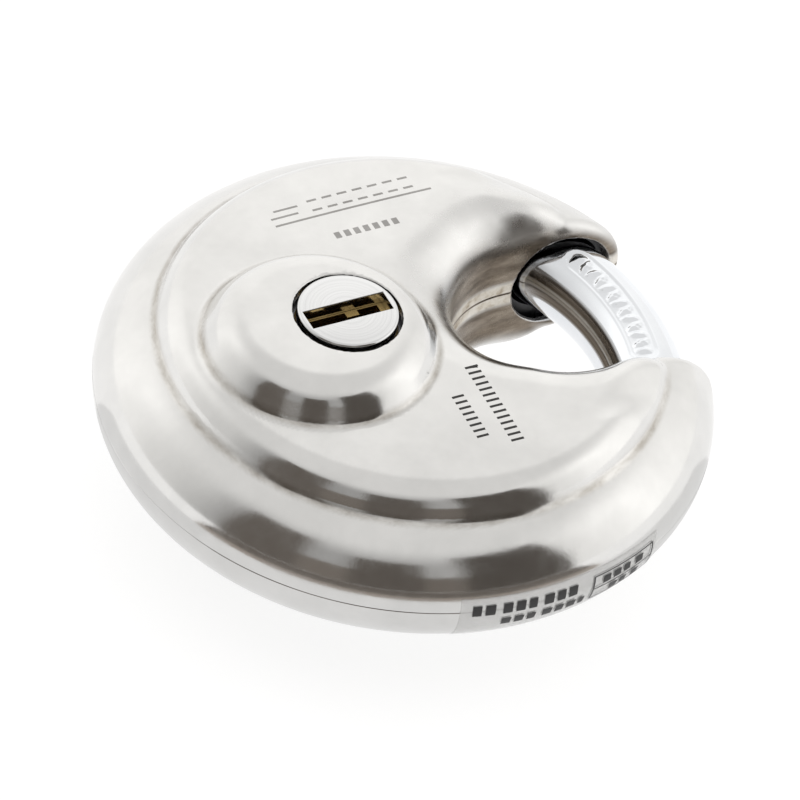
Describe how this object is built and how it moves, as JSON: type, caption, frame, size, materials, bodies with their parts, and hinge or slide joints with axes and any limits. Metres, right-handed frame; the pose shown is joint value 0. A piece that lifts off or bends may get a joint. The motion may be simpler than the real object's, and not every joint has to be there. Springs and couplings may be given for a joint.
{
  "type": "disc padlock",
  "caption": "Round stainless disc padlock with a shrouded curved shackle across a bite in its rim and a key plug in a raised boss; the plug's pinion swings the shackle open.",
  "frame": {"origin": "centre of the flat of the rear boss, 11.9 mm from the disc's axis on the side away from the bite", "axes": "+Z out of the key face, parallel to the disc's axis, +X out through the open side of the bite, +Y to the horn that the shackle's tip enters"},
  "size_m": [0.0684, 0.0701, 0.031],
  "materials": {
    "stainless_shell": "polished sheet with a fine satin grain",
    "shackle_chrome": "bright chrome plating",
    "cap_chrome": "chrome with fine turning marks",
    "brass": "machined",
    "zinc_die_cast": "as cast",
    "hardened_steel": "ground",
    "zinc_plated_steel": "zinc plated",
    "spring_steel": "drawn wire and strip",
    "label_film": "clear film with dark print"
  },
  "bodies": {
    "lock_body": {"front_shell": "stainless_shell", "rear_shell": "stainless_shell", "core_front": "zinc_die_cast", "core_rear": "zinc_die_cast", "core_screws": "zinc_plated_steel", "cylinder_housing": "brass", "chamber_cover": "brass", "anti_drill_washer": "hardened_steel", "stop_pins": "hardened_steel", "pin_springs": "spring_steel", "rim_label": "label_film"},
    "shackle": {"shackle": "shackle_chrome", "shackle_carrier": "hardened_steel", "carrier_rivets": "zinc_plated_steel"},
    "plug": {"plug": "brass", "plug_cap": "cap_chrome", "plug_circlip": "spring_steel", "drive_pinion": "hardened_steel"},
    "key_pin_1": {"key_pin_1": "brass"},
    "driver_pin_1": {"driver_pin_1": "hardened_steel"},
    "key_pin_2": {"key_pin_2": "brass"},
    "driver_pin_2": {"driver_pin_2": "hardened_steel"},
    "key_pin_3": {"key_pin_3": "brass"},
    "driver_pin_3": {"driver_pin_3": "hardened_steel"},
    "key_pin_4": {"key_pin_4": "brass"},
    "driver_pin_4": {"driver_pin_4": "hardened_steel"},
    "key_pin_5": {"key_pin_5": "brass"},
    "driver_pin_5": {"driver_pin_5": "hardened_steel"}
  },
  "joints": [
    {"name": "shackle_swing", "type": "hinge", "parent": "lock_body", "child": "shackle", "pos_m": [0.0119, 0, 0.0153], "axis": [0, 0, 1], "range_deg": [-60, 0]},
    {"name": "plug_turn", "type": "hinge", "parent": "lock_body", "child": "plug", "pos_m": [0.00294, 0, 0.0153], "axis": [0, 0, 1], "range_deg": [-120, 0]},
    {"name": "key_pin_1_slide", "type": "slide", "parent": "plug", "child": "key_pin_1", "axis": [1, 0, 0], "range_m": [-0.0009, 0]},
    {"name": "driver_pin_1_slide", "type": "slide", "parent": "lock_body", "child": "driver_pin_1", "axis": [1, 0, 0], "range_m": [0, 0.0012], "deforming": ["pin_springs"]},
    {"name": "key_pin_2_slide", "type": "slide", "parent": "plug", "child": "key_pin_2", "axis": [1, 0, 0], "range_m": [-0.0009, 0]},
    {"name": "driver_pin_2_slide", "type": "slide", "parent": "lock_body", "child": "driver_pin_2", "axis": [1, 0, 0], "range_m": [0, 0.0012], "deforming": ["pin_springs"]},
    {"name": "key_pin_3_slide", "type": "slide", "parent": "plug", "child": "key_pin_3", "axis": [1, 0, 0], "range_m": [-0.0009, 0]},
    {"name": "driver_pin_3_slide", "type": "slide", "parent": "lock_body", "child": "driver_pin_3", "axis": [1, 0, 0], "range_m": [0, 0.0012], "deforming": ["pin_springs"]},
    {"name": "key_pin_4_slide", "type": "slide", "parent": "plug", "child": "key_pin_4", "axis": [1, 0, 0], "range_m": [-0.0009, 0]},
    {"name": "driver_pin_4_slide", "type": "slide", "parent": "lock_body", "child": "driver_pin_4", "axis": [1, 0, 0], "range_m": [0, 0.0012], "deforming": ["pin_springs"]},
    {"name": "key_pin_5_slide", "type": "slide", "parent": "plug", "child": "key_pin_5", "axis": [1, 0, 0], "range_m": [-0.0009, 0]},
    {"name": "driver_pin_5_slide", "type": "slide", "parent": "lock_body", "child": "driver_pin_5", "axis": [1, 0, 0], "range_m": [0, 0.0012], "deforming": ["pin_springs"]}
  ],
  "couplings": [
    {"joint": "plug_turn", "follows": "shackle_swing", "ratio": 2}
  ]
}
